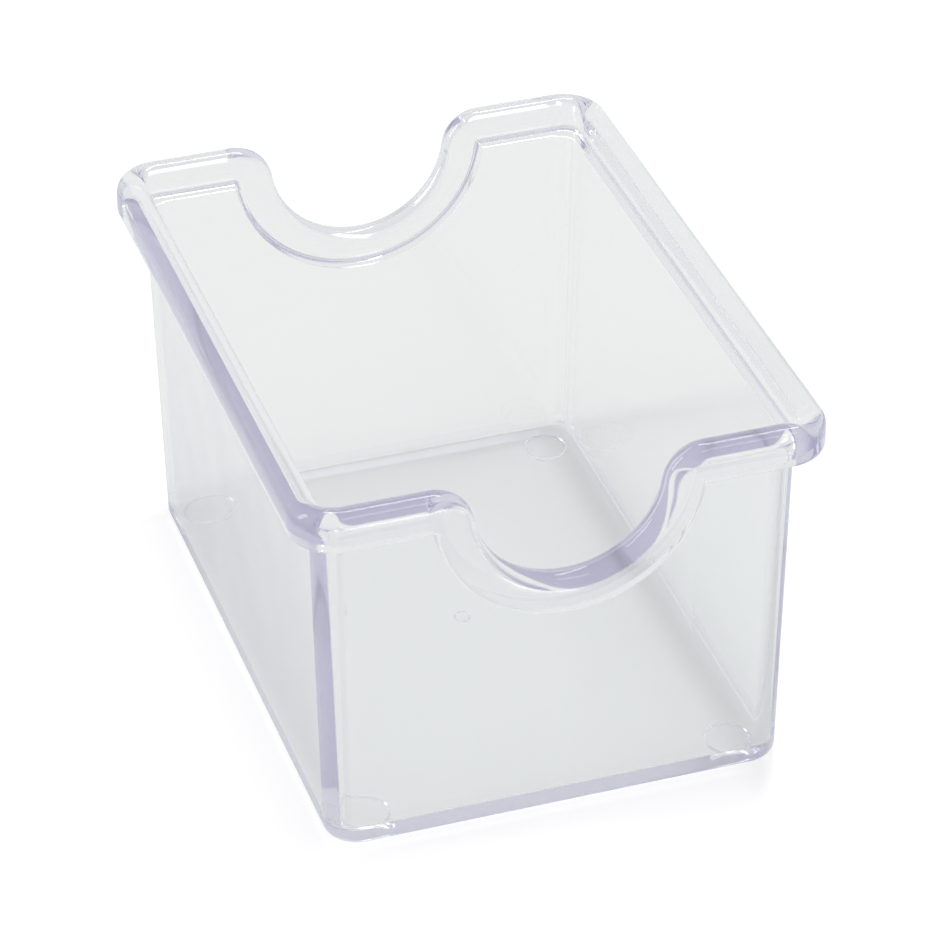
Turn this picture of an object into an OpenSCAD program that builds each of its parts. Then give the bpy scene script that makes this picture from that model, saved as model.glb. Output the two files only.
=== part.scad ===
// Clear moulded holder for sugar packets: an open tub whose walls lean outwards, a rolled rim that
// dips into a finger scoop at the front and at the back, and four small round feet.
// The front is -Y, and the underside of the feet is at z = 0, below the middle of the tub.

/* [Packet well] */
// Length of the well between the end walls, where they meet the rim
well_length = 94.3; // [80:0.2:140]
// Width of the well between the side walls, where they meet the rim
well_width = 68.2; // [60:0.2:110]

/* [Rim] */
// Width of the rolled bead, from the inside face of the wall to the outside of the lip
bead_width = 5.3; // [5:0.1:8]
// Height of the rolled bead, from the underside of the lip to the crest
bead_height = 6; // [5:0.1:8]
// Radius of the bead's crest
crest_radius = 2.3; // [1.2:0.1:2.4]
// Radius of the lip's lower outside edge
lip_edge_radius = 1.1; // [0.3:0.1:1.4]

/* [Tub] */
// Height from the underside of the floor to the crest of the rim
tub_height = 60.5; // [50:0.1:85]
// Thickness of the walls
wall_thickness = 1.6; // [1.2:0.1:3]
// Thickness of the floor
floor_thickness = 2.5; // [1.5:0.1:5]
// Angle by which each wall leans outwards
draft_angle = 1.1; // [0.5:0.1:1.5]
// Radius of the inside upright corners where they meet the rim
corner_radius = 1.6; // [1.5:0.1:8]
// Radius of the outside edge round the underside
base_edge_radius = 1.6; // [0.5:0.1:1.8]
// Diameter of the moulding gate mark under the middle of the floor
gate_diameter = 2.6; // [1:0.1:6]
// Height of the gate mark
gate_height = 0.3; // [0.1:0.05:0.5]

/* [Scoops] */
// Radius of the crest line round the bottom of each scoop
scoop_radius = 14; // [9:0.1:18]
// Depth of each scoop, from crest to crest
scoop_depth = 17.4; // [12:0.1:28]
// Radius of the wall's corner under each shoulder of a scoop
shoulder_seat_radius = 0.2; // [0.1:0.1:2]

/* [Feet] */
// Diameter of each foot
foot_diameter = 7; // [4:0.1:9]
// Height of each foot
foot_height = 0.7; // [0.6:0.1:3]
// Distance from the outside of the walls at the base to the middle of a foot
foot_inset = 6.8; // [6.6:0.1:12]
// Chamfer round the underside of each foot
foot_chamfer = 0.2; // [0.05:0.05:0.5]

/* [Hidden] */
$fn = 96;
// How far each cutting shape runs past what it cuts
overrun = 1;
// How far each bend of the bead turns past its seam before it is trimmed there
overturn_angle = 5;
// Step that the first part of a two-part move is rounded to
placing_step = 0.01;

// Levels from the ground up
base_z = foot_height;
floor_top_z = base_z + floor_thickness;
crest_z = base_z + tub_height;

// The bead's two side arcs rise from the seat and from the lip's edge into the crest's small arc.
// Points in the bead's section are [across from the inside face, up from the seat].
crest_across = bead_width / 2;
crest_up = bead_height - crest_radius;
inner_arc_radius = side_arc_radius(crest_across, crest_up);
outer_arc_radius = side_arc_radius(bead_width - crest_across, crest_up - lip_edge_radius);
crest_centre = [crest_across, crest_up];
inner_arc_centre = [inner_arc_radius, 0];
outer_arc_centre = [bead_width - outer_arc_radius, lip_edge_radius];
inner_blend = point_beyond(inner_arc_centre, crest_centre, inner_arc_radius);
outer_blend = point_beyond(outer_arc_centre, crest_centre, outer_arc_radius);

// The seat is the line where the wall's inside face meets the bead. The bead leans with the wall,
// so its crest and its lip stand where a turn about the seat takes them.
seat_z = crest_z - crest_radius - crest_up * cos(draft_angle) + crest_across * sin(draft_angle);
seat_x = well_width / 2;
seat_y = well_length / 2;
corner_x = seat_x - corner_radius;
corner_y = seat_y - corner_radius;

// The wall's faces, as distances out from the axis of an upright corner
wall_top = [
    corner_radius + wall_thickness * cos(draft_angle),
    seat_z - wall_thickness * sin(draft_angle)
];
base_x = corner_x + outside_reach(base_z);
base_y = corner_y + outside_reach(base_z);
base_edge_centre = [
    outside_reach(base_z + base_edge_radius) - base_edge_radius / cos(draft_angle),
    base_z + base_edge_radius
];
base_edge_blend = [
    base_edge_centre[0] + base_edge_radius * cos(draft_angle),
    base_edge_centre[1] - base_edge_radius * sin(draft_angle)
];

// The scoop's path in the leaning plane of an end wall, measured from the seat line
shoulder_radius = bead_height + shoulder_seat_radius;
shoulder_up = bead_height - shoulder_radius;
scoop_up = bead_height - scoop_depth + scoop_radius;
shoulder_rise = scoop_up - shoulder_up;
shoulder_across = sqrt(pow(scoop_radius + shoulder_radius, 2) - pow(shoulder_rise, 2));
shoulder_tilt = atan2(shoulder_rise, shoulder_across);
bend_sweep = 90 - shoulder_tilt + overturn_angle;
scoop_reach = scoop_radius + bead_height + overrun;
// Height above the seat line that the cut for a scoop reaches
cut_top = max(scoop_up, 0) + overrun;

foot_x = base_x - foot_inset;
foot_y = base_y - foot_inset;

clear_plastic = [0.86, 0.88, 0.93, 0.45];
clear_bead = [0.78, 0.77, 0.89, 0.6];
clear_foot = [0.8, 0.82, 0.9, 0.6];

// Radius of an arc that starts upright at the given distance and drop from the crest's centre and
// touches the crest's arc from outside
function side_arc_radius(across, up) =
    (pow(up, 2) + pow(across, 2) - pow(crest_radius, 2)) / (2 * (across - crest_radius));

// Point at a distance from one point in the direction of another
function point_beyond(from, to, distance) = from + distance * (to - from) / norm(to - from);

// Distance of a wall's inside and outside faces from the axis of an upright corner at a height
function inside_reach(z) = corner_radius - (seat_z - z) * tan(draft_angle);
function outside_reach(z) = inside_reach(z) + wall_thickness / cos(draft_angle);

// Section of the rolled bead: upright on its inside face, crowned, with a rounded lip
module bead_section() {
    difference() {
        intersection() {
            translate(inner_arc_centre) circle(r = inner_arc_radius);
            union() {
                square([bead_width, lip_edge_radius]);
                intersection() {
                    translate(outer_arc_centre) circle(r = outer_arc_radius);
                    translate([0, lip_edge_radius / 2]) square([bead_width, bead_height]);
                }
            }
        }
        difference() {
            polygon([inner_blend, outer_blend, outer_blend + [0, bead_height],
                     inner_blend + [0, bead_height]]);
            translate(crest_centre) circle(r = crest_radius);
        }
        difference() {
            translate([bead_width - lip_edge_radius, 0]) square(lip_edge_radius);
            translate([bead_width - lip_edge_radius, lip_edge_radius]) circle(r = lip_edge_radius);
        }
    }
}

// Section of a wall with the strip of floor at its foot, from the corner's axis outwards
module wall_section() {
    difference() {
        polygon([
            [0, base_z],
            [outside_reach(base_z), base_z],
            wall_top,
            [corner_radius, seat_z],
            [inside_reach(floor_top_z), floor_top_z],
            [0, floor_top_z]
        ]);
        difference() {
            polygon([[base_edge_centre[0], base_z], [outside_reach(base_z), base_z],
                     base_edge_blend]);
            translate(base_edge_centre) circle(r = base_edge_radius);
        }
    }
}

// Four mirrored copies of a quarter of the holder, drawn as the back right-hand one
module in_each_quarter() {
    for (side = [0, 1], end = [0, 1]) {
        mirror([side, 0, 0]) mirror([0, end, 0]) children();
    }
}

// A section, drawn from the corner's axis outwards, run from the middle of the right-hand side wall
// to the end of the back corner
module side_and_corner() {
    translate([corner_x, corner_y, 0]) {
        rotate([90, 0, 0]) linear_extrude(corner_y) children();
        rotate_extrude(angle = 90) children();
    }
}

// Lean what is drawn in the plane of an end wall onto the back wall
module in_back_wall() {
    translate([0, seat_y, seat_z]) rotate([-draft_angle, 0, 0]) children();
}

// Move in two steps, by whole placing steps and then by the rest. A long number loses its last
// digits in one move, and bends that touch along a slanting seam need them.
module place(v) {
    coarse = [for (n = v) round(n / placing_step) * placing_step];
    translate(coarse) translate(v - coarse) children();
}

// A section revolved about a line square to the end wall, down from the frame's x axis
module bend(sweep) {
    rotate([-90, 0, 0]) rotate_extrude(angle = sweep) children();
}

// All that lies above the line between the scoop's centre and the right-hand shoulder's centre
module above_slanting_seam() {
    translate([0, 0, scoop_up]) rotate([0, shoulder_tilt, 0])
        translate([-scoop_reach, -overrun, 0])
            cube([3 * scoop_reach, bead_width + 2 * overrun, scoop_reach]);
}

// The bead from the bottom of the scoop to the right-hand corner: half the scoop, the shoulder and
// the straight run
module half_end_bead() {
    difference() {
        translate([0, 0, scoop_up]) rotate([0, 90, 0]) mirror([0, 0, 1]) bend(bend_sweep)
            translate([scoop_radius + bead_height, 0]) rotate(90) bead_section();
        above_slanting_seam();
    }
    intersection() {
        place([shoulder_across, 0, shoulder_up]) rotate([0, -90, 0]) mirror([0, 0, 1])
            bend(bend_sweep) translate([-shoulder_up, 0]) mirror([1, -1]) bead_section();
        above_slanting_seam();
    }
    difference() {
        rotate([90, 0, 90]) linear_extrude(corner_x) bead_section();
        place([shoulder_across, 0, shoulder_up]) translate([-scoop_reach, -overrun, -overrun])
            cube([scoop_reach, bead_width + 2 * overrun, shoulder_radius + 2 * overrun]);
    }
}

// The right-hand half of the opening that a scoop leaves in the wall under the bead. Its two parts
// meet on the line between the scoop's centre and the shoulder's centre.
module half_scoop_outline() {
    intersection() {
        translate([0, scoop_up]) circle(r = scoop_radius + bead_height);
        polygon([
            [-overrun, scoop_up],
            [0, scoop_up],
            [shoulder_across, shoulder_up],
            [shoulder_across, scoop_up - scoop_reach],
            [-overrun, scoop_up - scoop_reach]
        ]);
    }
    difference() {
        polygon([
            [-overrun, scoop_up],
            [0, scoop_up],
            [shoulder_across, shoulder_up],
            [shoulder_across, cut_top],
            [-overrun, cut_top]
        ]);
        place([shoulder_across, shoulder_up]) circle(r = shoulder_seat_radius);
    }
}

// Floor and four leaning walls, moulded as one shell
module tub() {
    color(clear_plastic) difference() {
        union() {
            in_each_quarter() {
                side_and_corner() wall_section();
                translate([0, corner_y, 0]) rotate([90, 0, 90])
                    linear_extrude(corner_x) wall_section();
            }
            translate([-corner_x, -corner_y, base_z])
                cube([2 * corner_x, 2 * corner_y, floor_thickness]);
            translate([0, 0, base_z - gate_height])
                cylinder(h = gate_height + floor_thickness / 2, d = gate_diameter);
        }
        in_each_quarter() in_back_wall() translate([0, wall_thickness + overrun, 0])
            rotate([90, 0, 0]) linear_extrude(wall_thickness + 2 * overrun) half_scoop_outline();
    }
}

// The rolled bead round the top of the tub, dipping through both scoops
module rolled_rim() {
    color(clear_bead) in_each_quarter() {
        translate([0, 0, seat_z]) side_and_corner()
            translate([corner_radius, 0]) rotate(-draft_angle) bead_section();
        in_back_wall() half_end_bead();
    }
}

// One round foot, given the sides of the tub that it stands under
module foot(side, end) {
    color(clear_foot) translate([side * foot_x, end * foot_y, 0]) {
        cylinder(h = foot_chamfer, d1 = foot_diameter - 2 * foot_chamfer, d2 = foot_diameter);
        translate([0, 0, foot_chamfer]) cylinder(h = foot_height - foot_chamfer, d = foot_diameter);
    }
}

tub();
rolled_rim();
foot(-1, -1);  // foot_front_left
foot(1, -1);  // foot_front_right
foot(-1, 1);  // foot_back_left
foot(1, 1);  // foot_back_right
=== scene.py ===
import math

import bmesh
import bpy
from mathutils import Matrix, Vector


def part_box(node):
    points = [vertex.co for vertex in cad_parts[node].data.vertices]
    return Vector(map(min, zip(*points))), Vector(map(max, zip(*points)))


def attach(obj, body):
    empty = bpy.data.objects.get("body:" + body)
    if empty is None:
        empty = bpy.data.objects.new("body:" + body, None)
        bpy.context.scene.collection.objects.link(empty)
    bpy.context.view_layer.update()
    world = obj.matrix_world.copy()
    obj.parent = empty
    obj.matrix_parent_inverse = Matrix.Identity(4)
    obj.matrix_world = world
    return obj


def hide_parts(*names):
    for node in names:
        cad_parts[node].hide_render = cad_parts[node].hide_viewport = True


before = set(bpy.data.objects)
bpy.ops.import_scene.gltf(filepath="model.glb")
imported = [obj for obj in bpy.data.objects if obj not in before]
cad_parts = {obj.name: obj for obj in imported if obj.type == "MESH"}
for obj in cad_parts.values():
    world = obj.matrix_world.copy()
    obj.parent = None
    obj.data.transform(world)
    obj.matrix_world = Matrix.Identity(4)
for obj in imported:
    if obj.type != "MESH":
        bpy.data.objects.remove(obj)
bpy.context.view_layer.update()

# Sizes that the frame gives, in metres
MM = 0.001
RIM_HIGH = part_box("rolled_rim")[1]
FOOT_NODES = ["foot_front_left", "foot_front_right", "foot_back_left", "foot_back_right"]
FOOT_BOXES = [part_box(name) for name in FOOT_NODES]
BASE_Z = FOOT_BOXES[0][1].z
SEAT_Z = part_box("tub")[1].z

# The bead's section: points are [across from the wall's inside face, up from the seat]
BEAD_WIDTH = 5.3 * MM
BEAD_HEIGHT = 6 * MM
CREST_RADIUS = 2.3 * MM
LIP_EDGE_RADIUS = 1.1 * MM
UNDER_LIP_FILLET = 0.16 * MM
CREST_OUTWARDS = 0.27 * MM
INSIDE_BEND_UP = 0.45 * MM
INSIDE_BEND_RADIUS = 0.8 * MM

# The tub
WALL = 1.6 * MM
FLOOR = 2.5 * MM
DRAFT = math.radians(1.1)
INSIDE_DRAFT = math.radians(1.65)
CORNER_RADIUS = 1.6 * MM
BASE_EDGE_RADIUS = 1.6 * MM
FLOOR_FILLET = 0.4 * MM
GATE_RADIUS = 1.3 * MM
GATE_HEIGHT = 0.3 * MM
FOOT_DOME = 0.5 * MM
FLOOR_UNDER_FEET = 0.02 * MM

# How much rounder the upright corners are than arcs about one axis
FLOOR_EXTRA_ROUND = 0.6 * MM
LIP_EXTRA_ROUND = 2.2 * MM
BASE_EXTRA_ROUND = 3 * MM

# The scoops
SCOOP_RADIUS = 14 * MM
SCOOP_DEPTH = 17.4 * MM
SHOULDER_SEAT_RADIUS = 0.2 * MM

# Steps in each curve
SIDE_ARC_STEPS = 12
CREST_STEPS = 20
LIP_STEPS = 8
FILLET_STEPS = 4
DOME_STEPS = 8
BASE_STEPS = 12
CORNER_STEPS = 28
SHOULDER_STEPS = 32
SCOOP_STEPS = 56
ROUND_STEPS = 64

# An x direction below this counts as none
ALMOST_ZERO = 1e-9
# Faces that meet at less than this angle are shaded as one curved surface
SMOOTH_ANGLE = math.radians(35)
FLAT_FACE_WEIGHT = 100

# The plastic's roughness, where it is clearest and haziest, and what the scuffed floor adds
CLEAREST = 0.012
HAZIEST = 0.045
SCUFFS = 0.16
# Reflections inside the plastic after which light is let out of it
REFLECTIONS_FOLLOWED = 3.5
# How narrowly the loss of light to a shadow keeps to the walls that lie along the light
GRAZING_POWER = 6

# How much the paper glows, and how much it does so for the camera
PAPER_GLOW = 0.03
PAPER_GLOW_SEEN = 0.32
PAPER_HALF_WIDTH = 3.0

# Lamps by name, place, size in metres, power in watts, and whether the plastic's gloss shows them
LAMPS = [
    ("back_strip", Vector((0.28, 0.4, 1.02)), (0.6, 0.16), 1.9, True),
    ("front_top_softbox", Vector((0.26, -0.46, 0.94)), (0.5, 0.2), 0.5, True),
    ("left_softbox", Vector((-0.8, 0.1, 0.5)), (0.2, 0.6), 1.2, True),
    ("overhead_lamp", Vector((0.137, 0.1, 1)), (0.06, 0.06), 1.7, False),
]
LAMP_TARGET = Vector((0, 0, 0.03))

# Where the photograph was taken from
CAMERA_PLACE = Vector((-0.17277, -0.5404, 0.40507))
CAMERA_AZIMUTH = math.radians(17.906)
CAMERA_DROP = math.radians(33.531)
CAMERA_ROLL = math.radians(-0.524)
CAMERA_LENS = 173.28
CAMERA_CLIP = (0.01, 20)


def arc(centre, radius, start, end, steps):
    """Points along an arc, both ends included, with angles in radians."""
    points = []
    for i in range(steps + 1):
        a = start + (end - start) * i / steps
        points.append((centre[0] + radius * math.cos(a), centre[1] + radius * math.sin(a)))
    return points


def side_arc_radius(across, up):
    """Radius of the arc that starts upright and touches the crest's arc from outside."""
    return (up ** 2 + across ** 2 - CREST_RADIUS ** 2) / (2 * (across - CREST_RADIUS))


CREST_ACROSS = BEAD_WIDTH / 2 + CREST_OUTWARDS
CREST_UP = BEAD_HEIGHT - CREST_RADIUS
OUTER_ARC = side_arc_radius(BEAD_WIDTH - CREST_ACROSS, CREST_UP - LIP_EDGE_RADIUS)
OUTER_CENTRE = (BEAD_WIDTH - OUTER_ARC, LIP_EDGE_RADIUS)
BEAD_REACH = OUTER_ARC + OUTER_CENTRE[0] * math.cos(DRAFT) + OUTER_CENTRE[1] * math.sin(DRAFT)
SEAT_X = RIM_HIGH.x - BEAD_REACH
SEAT_Y = RIM_HIGH.y - BEAD_REACH
CORNER_X = SEAT_X - CORNER_RADIUS
CORNER_Y = SEAT_Y - CORNER_RADIUS
FLOOR_TOP_Z = BASE_Z + FLOOR

SHOULDER_UP = -SHOULDER_SEAT_RADIUS
SCOOP_UP = BEAD_HEIGHT - SCOOP_DEPTH + SCOOP_RADIUS
CENTRES_APART = SCOOP_RADIUS + BEAD_HEIGHT + SHOULDER_SEAT_RADIUS
SHOULDER_ACROSS = math.sqrt(CENTRES_APART ** 2 - (SCOOP_UP - SHOULDER_UP) ** 2)
SHOULDER_TILT = math.atan2(SCOOP_UP - SHOULDER_UP, SHOULDER_ACROSS)


def inside_reach(z):
    """Distance of the walls' inside faces from the seat line at a height."""
    return -(SEAT_Z - z) * math.tan(INSIDE_DRAFT)


def outside_reach(z):
    return -(SEAT_Z - z) * math.tan(DRAFT) + WALL / math.cos(DRAFT)


def bead_outline():
    """The bead from the wall's inside face, over the crest and under the lip to the outside face.
    Its inside bends away from the wall and runs straight to the crest's arc."""
    across = CREST_ACROSS - INSIDE_BEND_RADIUS
    up = CREST_UP - INSIDE_BEND_UP
    apart = math.hypot(across, up)
    bend = math.acos((CREST_RADIUS - INSIDE_BEND_RADIUS) / apart) - math.atan2(up, across)
    outer_blend = math.atan2(CREST_UP - LIP_EDGE_RADIUS, CREST_ACROSS - OUTER_CENTRE[0])
    bend_centre = (INSIDE_BEND_RADIUS, INSIDE_BEND_UP)
    points = [(0, 0)] + arc(bend_centre, INSIDE_BEND_RADIUS, math.pi, math.pi - bend, FILLET_STEPS)
    points += arc((CREST_ACROSS, CREST_UP), CREST_RADIUS, math.pi - bend, outer_blend, CREST_STEPS)
    points += arc(OUTER_CENTRE, OUTER_ARC, outer_blend, 0, SIDE_ARC_STEPS)[1:]
    lip_centre = (BEAD_WIDTH - LIP_EDGE_RADIUS, LIP_EDGE_RADIUS)
    points += arc(lip_centre, LIP_EDGE_RADIUS, 0, -math.pi / 2, LIP_STEPS)[1:]
    fillet_centre = (WALL + UNDER_LIP_FILLET, -UNDER_LIP_FILLET)
    points += arc(fillet_centre, UNDER_LIP_FILLET, math.pi / 2, math.pi, FILLET_STEPS)
    return points


def floor_corner_outline():
    """The small fillet between the floor and a wall's inside face, as [reach, height]."""
    z = FLOOR_TOP_Z + FLOOR_FILLET
    centre = (inside_reach(z) - FLOOR_FILLET / math.cos(INSIDE_DRAFT), z)
    return arc(centre, FLOOR_FILLET, -math.pi / 2, -INSIDE_DRAFT, FILLET_STEPS)


def base_edge_outline():
    """The rounded edge between a wall's outside face and the underside, as [reach, height]."""
    z = BASE_Z + BASE_EDGE_RADIUS
    centre = (outside_reach(z) - BASE_EDGE_RADIUS / math.cos(DRAFT), z)
    return arc(centre, BASE_EDGE_RADIUS, -DRAFT, -math.pi / 2, BASE_STEPS)


def section(seat, out, up, facing, rounding=Vector((0, 0, 0))):
    """The holder's whole section at one place on its way round: floor, wall, bead, wall, base.
    Rounding is the move, for each metre of extra radius, that makes an upright corner rounder.
    In an end wall the bead dips into the scoop, but the floor and the base keep to their lines."""
    bead = [seat + out * u + up * w for u, w in bead_outline()]
    inside = Vector((seat.x, seat.y, 0))
    outside = inside.copy()
    if facing.x == 0:
        inside.y = SEAT_Y
        outside = Vector((bead[-1].x, SEAT_Y, 0))
    inside += rounding * FLOOR_EXTRA_ROUND
    outside += rounding * BASE_EXTRA_ROUND
    points = [inside + facing * r + Vector((0, 0, z)) for r, z in floor_corner_outline()]
    points += bead[:-FILLET_STEPS - 1]
    points += [p + rounding * LIP_EXTRA_ROUND for p in bead[-FILLET_STEPS - 1:]]
    points += [outside + facing * r + Vector((0, 0, z)) for r, z in base_edge_outline()]
    return points


def corner_section(turn, y=None):
    """A section on the back right corner, or on the side wall at a given y."""
    facing = Vector((math.cos(turn), math.sin(turn), 0))
    if facing.x < ALMOST_ZERO:
        facing = Vector((0, 1, 0))
    seat = Vector((CORNER_X, CORNER_Y, SEAT_Z)) + facing * CORNER_RADIUS
    out = facing * math.cos(DRAFT) - Vector((0, 0, math.sin(DRAFT)))
    up = facing * math.sin(DRAFT) + Vector((0, 0, math.cos(DRAFT)))
    if y is not None:
        seat.y = y
        return section(seat, out, up, facing)
    return section(seat, out, up, facing, facing - Vector((1, 1, 0)))


def bend_section(across, up_to_centre, seat_radius, turn, way):
    """A section on a bend in the plane of the back wall, about a centre in that plane. The bead
    stands outwards from the centre where way is 1 and towards it where way is -1."""
    in_plane = Vector((0, math.sin(DRAFT), math.cos(DRAFT)))
    out = Vector((0, math.cos(DRAFT), -math.sin(DRAFT)))
    centre = Vector((across, SEAT_Y, SEAT_Z)) + in_plane * up_to_centre
    spoke = Vector((1, 0, 0)) * math.cos(turn) + in_plane * math.sin(turn)
    return section(centre + spoke * seat_radius, out, spoke * way, Vector((0, 1, 0)))


def quarter_sections():
    """Sections from the middle of the right-hand side to the bottom of the back scoop."""
    sections = [corner_section(0, 0)]
    for i in range(CORNER_STEPS + 1):
        sections.append(corner_section(math.pi / 2 * i / CORNER_STEPS))
    for i in range(SHOULDER_STEPS + 1):
        turn = math.pi / 2 + (math.pi / 2 - SHOULDER_TILT) * i / SHOULDER_STEPS
        sections.append(bend_section(SHOULDER_ACROSS, SHOULDER_UP, SHOULDER_SEAT_RADIUS, turn, 1))
    for i in range(1, SCOOP_STEPS + 1):
        turn = -SHOULDER_TILT - (math.pi / 2 - SHOULDER_TILT) * i / SCOOP_STEPS
        sections.append(bend_section(0, SCOOP_UP, SCOOP_RADIUS + BEAD_HEIGHT, turn, -1))
    return sections


def all_sections():
    """The sections of the whole way round, the other quarters being mirrored or turned."""
    quarter = quarter_sections()
    mirrored = [[Vector((-p.x, p.y, p.z)) for p in s] for s in reversed(quarter[:-1])]
    half = (quarter + mirrored)[:-1]
    return half + [[Vector((-p.x, -p.y, p.z)) for p in s] for s in half]


def ring_of_verts(bm, centre, radius, z):
    points = arc(centre, radius, 0, 2 * math.pi, ROUND_STEPS)[:-1]
    return [bm.verts.new((x, y, z)) for x, y in points]


def bridge(bm, ring, lower):
    """Faces between two rings with as many vertices each, facing outwards from the lower one."""
    for i in range(len(ring)):
        j = (i + 1) % len(ring)
        bm.faces.new((ring[i], ring[j], lower[j], lower[i]))


def add_round_pad(bm, centre, radius, depth, dome):
    """A round pad that hangs from the underside, rounded off over the width of its dome.
    Returns the edges where it leaves the underside."""
    top = ring_of_verts(bm, centre, radius, BASE_Z)
    previous = top
    for across, down in arc((0, 0), 1, 0, math.pi / 2, DOME_STEPS)[1:]:
        lower = ring_of_verts(bm, centre, radius - dome * (1 - across), BASE_Z - depth * down)
        bridge(bm, lower, previous)
        previous = lower
    bm.faces.new(previous)
    return loop_edges(bm, top)


def loop_edges(bm, verts):
    edges = []
    for i in range(len(verts)):
        pair = (verts[i], verts[(i + 1) % len(verts)])
        edges.append(bm.edges.get(pair) or bm.edges.new(pair))
    return edges


def add_feet(bm):
    edges = []
    for low, high in FOOT_BOXES:
        centre = ((low.x + high.x) / 2, (low.y + high.y) / 2)
        radius = (high.x - low.x) / 2
        edges += add_round_pad(bm, centre, radius, BASE_Z - low.z, FOOT_DOME)
    return edges


def holder_mesh():
    """The moulding as one unbroken surface, so that light passes through no false seam in it."""
    bm = bmesh.new()
    rows = [[bm.verts.new(p) for p in s] for s in all_sections()]
    for i, row in enumerate(rows):
        following = rows[(i + 1) % len(rows)]
        for j in range(len(row) - 1):
            bm.faces.new((row[j], row[j + 1], following[j + 1], following[j]))
    bm.faces.new([row[0] for row in rows])
    underside = loop_edges(bm, [row[-1] for row in rows])
    underside += add_feet(bm)
    underside += add_round_pad(bm, (0, 0), GATE_RADIUS, GATE_HEIGHT, GATE_HEIGHT)
    bmesh.ops.triangle_fill(bm, use_beauty=True, use_dissolve=False, edges=underside)
    bmesh.ops.recalc_face_normals(bm, faces=bm.faces)
    mesh = bpy.data.meshes.new("clear_moulding")
    bm.to_mesh(mesh)
    bm.free()
    mesh.shade_smooth()
    mesh.set_sharp_from_angle(angle=SMOOTH_ANGLE)
    return mesh


def set_input(tree, socket, value):
    """Give a shader node's input a plain value, or link another node's output to it."""
    if isinstance(value, bpy.types.NodeSocket):
        tree.links.new(value, socket)
    else:
        socket.default_value = value


def add_node(tree, kind, **inputs):
    """A new shader node with some of its inputs set, each under its name with underscores."""
    node = tree.nodes.new(kind)
    for name, value in inputs.items():
        set_input(tree, node.inputs[name.replace("_", " ")], value)
    return node


def add_math(tree, operation, first, second):
    """The result of an operation on two numbers or outputs."""
    node = tree.nodes.new("ShaderNodeMath")
    node.operation = operation
    set_input(tree, node.inputs[0], first)
    set_input(tree, node.inputs[1], second)
    return node.outputs["Value"]


def mix_colours(tree, factor, first, second):
    """A colour that goes from the first to the second."""
    mix = tree.nodes.new("ShaderNodeMix")
    mix.data_type = "RGBA"
    set_input(tree, mix.inputs["Factor"], factor)
    set_input(tree, mix.inputs[6], first)
    set_input(tree, mix.inputs[7], second)
    return mix.outputs[2]


def mix_shaders(tree, factor, first, second):
    mix = add_node(tree, "ShaderNodeMixShader", Fac=factor)
    set_input(tree, mix.inputs[1], first)
    set_input(tree, mix.inputs[2], second)
    return mix.outputs["Shader"]


def new_material(name):
    """A material with an empty node tree, and the tree's output node."""
    material = bpy.data.materials.new(name)
    material.use_nodes = True
    material.node_tree.nodes.clear()
    return material, material.node_tree.nodes.new("ShaderNodeOutputMaterial")


def plastic_roughness(tree, place):
    """Faint haze all over. The floor of the well is scuffed by what stands on it, so it mirrors the
    walls only faintly."""
    haze = add_node(tree, "ShaderNodeTexNoise", Vector=place, Scale=220, Detail=5, Roughness=0.6)
    spread = add_node(tree, "ShaderNodeMapRange", Value=haze.outputs["Fac"], From_Min=0.35,
                      From_Max=0.75, To_Min=CLEAREST, To_Max=HAZIEST)
    height = add_node(tree, "ShaderNodeSeparateXYZ", Vector=place).outputs["Z"]
    scuffed = add_node(tree, "ShaderNodeMapRange", Value=height, From_Min=FLOOR_TOP_Z + FLOOR_FILLET,
                       From_Max=FLOOR_TOP_Z, To_Min=0, To_Max=SCUFFS)
    on_top = add_math(tree, "GREATER_THAN", height, BASE_Z + FLOOR / 2)
    on_floor = add_math(tree, "MULTIPLY", scuffed.outputs["Result"], on_top)
    return add_math(tree, "ADD", spread.outputs["Result"], on_floor)


def light_passing_through(tree):
    """What a ray of light on its way to the floor meets: it passes, but less of it where it grazes
    a wall, which makes a pale shadow beside the walls that lie along the light."""
    facing = add_node(tree, "ShaderNodeLayerWeight").outputs["Facing"]
    loss = add_math(tree, "POWER", facing, GRAZING_POWER)
    tint = mix_colours(tree, loss, (0.99, 0.99, 0.992, 1), (0.1, 0.1, 0.13, 1))
    return add_node(tree, "ShaderNodeBsdfTransparent", Color=tint).outputs["BSDF"]


def clear_plastic():
    """Clear plastic with a violet tint in its depth and the faint waves of a moulded surface."""
    material, output = new_material("clear_plastic")
    tree = material.node_tree
    place = tree.nodes.new("ShaderNodeTexCoord").outputs["Object"]
    waves = add_node(tree, "ShaderNodeTexNoise", Vector=place, Scale=45, Detail=1, Roughness=0.4)
    relief = add_node(tree, "ShaderNodeBump", Height=waves.outputs["Fac"], Strength=0.12,
                      Distance=0.0002)
    surface = add_node(tree, "ShaderNodeBsdfPrincipled", Base_Color=(0.998, 1, 0.999, 1), IOR=1.57,
                       Transmission_Weight=1, Roughness=plastic_roughness(tree, place),
                       Normal=relief.outputs["Normal"])
    depth = add_node(tree, "ShaderNodeVolumeAbsorption", Color=(0.40, 0.34, 0.66, 1), Density=6)

    # Light that keeps reflecting inside the plastic leaves it at last, tinted by its long way
    path = tree.nodes.new("ShaderNodeLightPath")
    trapped = add_math(tree, "GREATER_THAN", path.outputs["Glossy Depth"], REFLECTIONS_FOLLOWED)
    leaving = add_node(tree, "ShaderNodeBsdfTransparent", Color=(0.875, 0.868, 0.93, 1))
    seen = mix_shaders(tree, trapped, surface.outputs["BSDF"], leaving.outputs["BSDF"])
    to_floor = add_math(tree, "MAXIMUM", path.outputs["Is Shadow Ray"],
                        path.outputs["Is Diffuse Ray"])
    whole = mix_shaders(tree, to_floor, seen, light_passing_through(tree))
    set_input(tree, output.inputs["Surface"], whole)
    set_input(tree, output.inputs["Volume"], depth.outputs["Volume"])
    return material


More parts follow.
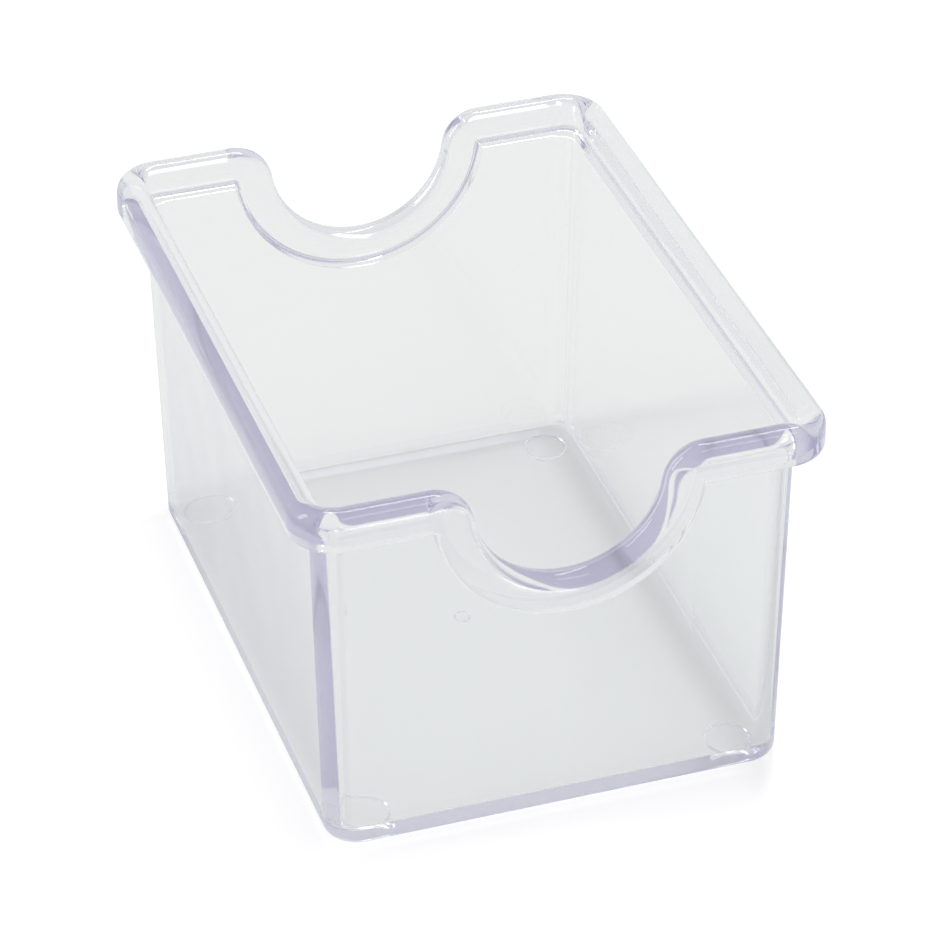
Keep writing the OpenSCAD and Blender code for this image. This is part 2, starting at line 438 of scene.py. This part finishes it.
def make_holder():
    holder = bpy.data.objects.new("clear_moulding", holder_mesh())
    bpy.context.scene.collection.objects.link(holder)
    holder.data.materials.append(clear_plastic())
    flat_faces = holder.modifiers.new("flat faces stay flat", "WEIGHTED_NORMAL")
    flat_faces.keep_sharp = True
    flat_faces.weight = FLAT_FACE_WEIGHT
    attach(holder, "root")
    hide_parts("tub", "rolled_rim", *FOOT_NODES)


def white_paper():
    """Pale paper that is white to the camera, takes a soft shadow and is grey through the plastic."""
    material, output = new_material("white_paper")
    tree = material.node_tree
    path = tree.nodes.new("ShaderNodeLightPath")
    share = add_node(tree, "ShaderNodeMapRange", Value=path.outputs["Is Camera Ray"],
                     To_Min=PAPER_GLOW, To_Max=PAPER_GLOW_SEEN)
    paper = add_node(tree, "ShaderNodeBsdfDiffuse", Color=(0.79, 0.815, 0.80, 1))
    glow = add_node(tree, "ShaderNodeEmission", Color=(1, 0.92, 0.97, 1),
                    Strength=share.outputs["Result"])
    both = tree.nodes.new("ShaderNodeAddShader")
    set_input(tree, both.inputs[0], paper.outputs["BSDF"])
    set_input(tree, both.inputs[1], glow.outputs["Emission"])
    set_input(tree, output.inputs["Surface"], both.outputs["Shader"])
    return material


def make_floor():
    half = PAPER_HALF_WIDTH
    mesh = bpy.data.meshes.new("floor")
    mesh.from_pydata([(-half, -half, 0), (half, -half, 0), (half, half, 0), (-half, half, 0)],
                     [], [(0, 1, 2, 3)])
    floor = bpy.data.objects.new("floor", mesh)
    bpy.context.scene.collection.objects.link(floor)
    floor.location.z = FOOT_BOXES[0][0].z - FLOOR_UNDER_FEET
    mesh.materials.append(white_paper())


def make_world():
    """A studio: plain white light, a white backdrop, and for gloss and clear plastic the pale grey
    of the backdrop with the darker room in front of it."""
    world = bpy.data.worlds.new("studio")
    bpy.context.scene.world = world
    world.use_nodes = True
    tree = world.node_tree
    direction = tree.nodes.new("ShaderNodeTexCoord").outputs["Generated"]
    along = add_node(tree, "ShaderNodeSeparateXYZ", Vector=direction).outputs["Y"]
    to_room = add_node(tree, "ShaderNodeMapRange", Value=along, From_Min=0.1, From_Max=-0.7,
                       To_Min=0, To_Max=1)
    studio = mix_colours(tree, to_room.outputs["Result"], (0.81, 0.835, 0.83, 1),
                         (0.74, 0.74, 0.78, 1))
    path = tree.nodes.new("ShaderNodeLightPath")
    mirrored = add_math(tree, "MAXIMUM", path.outputs["Is Glossy Ray"],
                        path.outputs["Is Transmission Ray"])
    light = mix_colours(tree, mirrored, (0.64, 0.64, 0.64, 1), studio)
    backdrop = mix_colours(tree, path.outputs["Is Camera Ray"], light, (1, 1, 1, 1))
    set_input(tree, tree.nodes["Background"].inputs["Color"], backdrop)


def make_lamps():
    for name, place, size, watts, shown_in_gloss in LAMPS:
        light = bpy.data.lights.new(name, "AREA")
        light.shape = "RECTANGLE"
        light.size, light.size_y = size
        light.energy = watts
        lamp = bpy.data.objects.new(name, light)
        bpy.context.scene.collection.objects.link(lamp)
        lamp.location = place
        lamp.rotation_euler = (LAMP_TARGET - place).to_track_quat("-Z", "Y").to_euler()
        lamp.visible_glossy = shown_in_gloss
        lamp.visible_transmission = shown_in_gloss


def make_camera():
    forward = Vector((math.sin(CAMERA_AZIMUTH) * math.cos(CAMERA_DROP),
                      math.cos(CAMERA_AZIMUTH) * math.cos(CAMERA_DROP),
                      -math.sin(CAMERA_DROP)))
    level = forward.cross(Vector((0, 0, 1))).normalized()
    upright = level.cross(forward)
    right = level * math.cos(CAMERA_ROLL) + upright * math.sin(CAMERA_ROLL)
    up = upright * math.cos(CAMERA_ROLL) - level * math.sin(CAMERA_ROLL)
    data = bpy.data.cameras.new("photo_camera")
    data.lens = CAMERA_LENS
    data.clip_start, data.clip_end = CAMERA_CLIP
    camera = bpy.data.objects.new("photo_camera", data)
    bpy.context.scene.collection.objects.link(camera)
    camera.matrix_world = Matrix.Translation(CAMERA_PLACE) @ Matrix(
        (right, up, -forward)).transposed().to_4x4()
    bpy.context.scene.camera = camera


bpy.context.scene.view_settings.view_transform = "Standard"
make_holder()
make_floor()
make_world()
make_lamps()
make_camera()
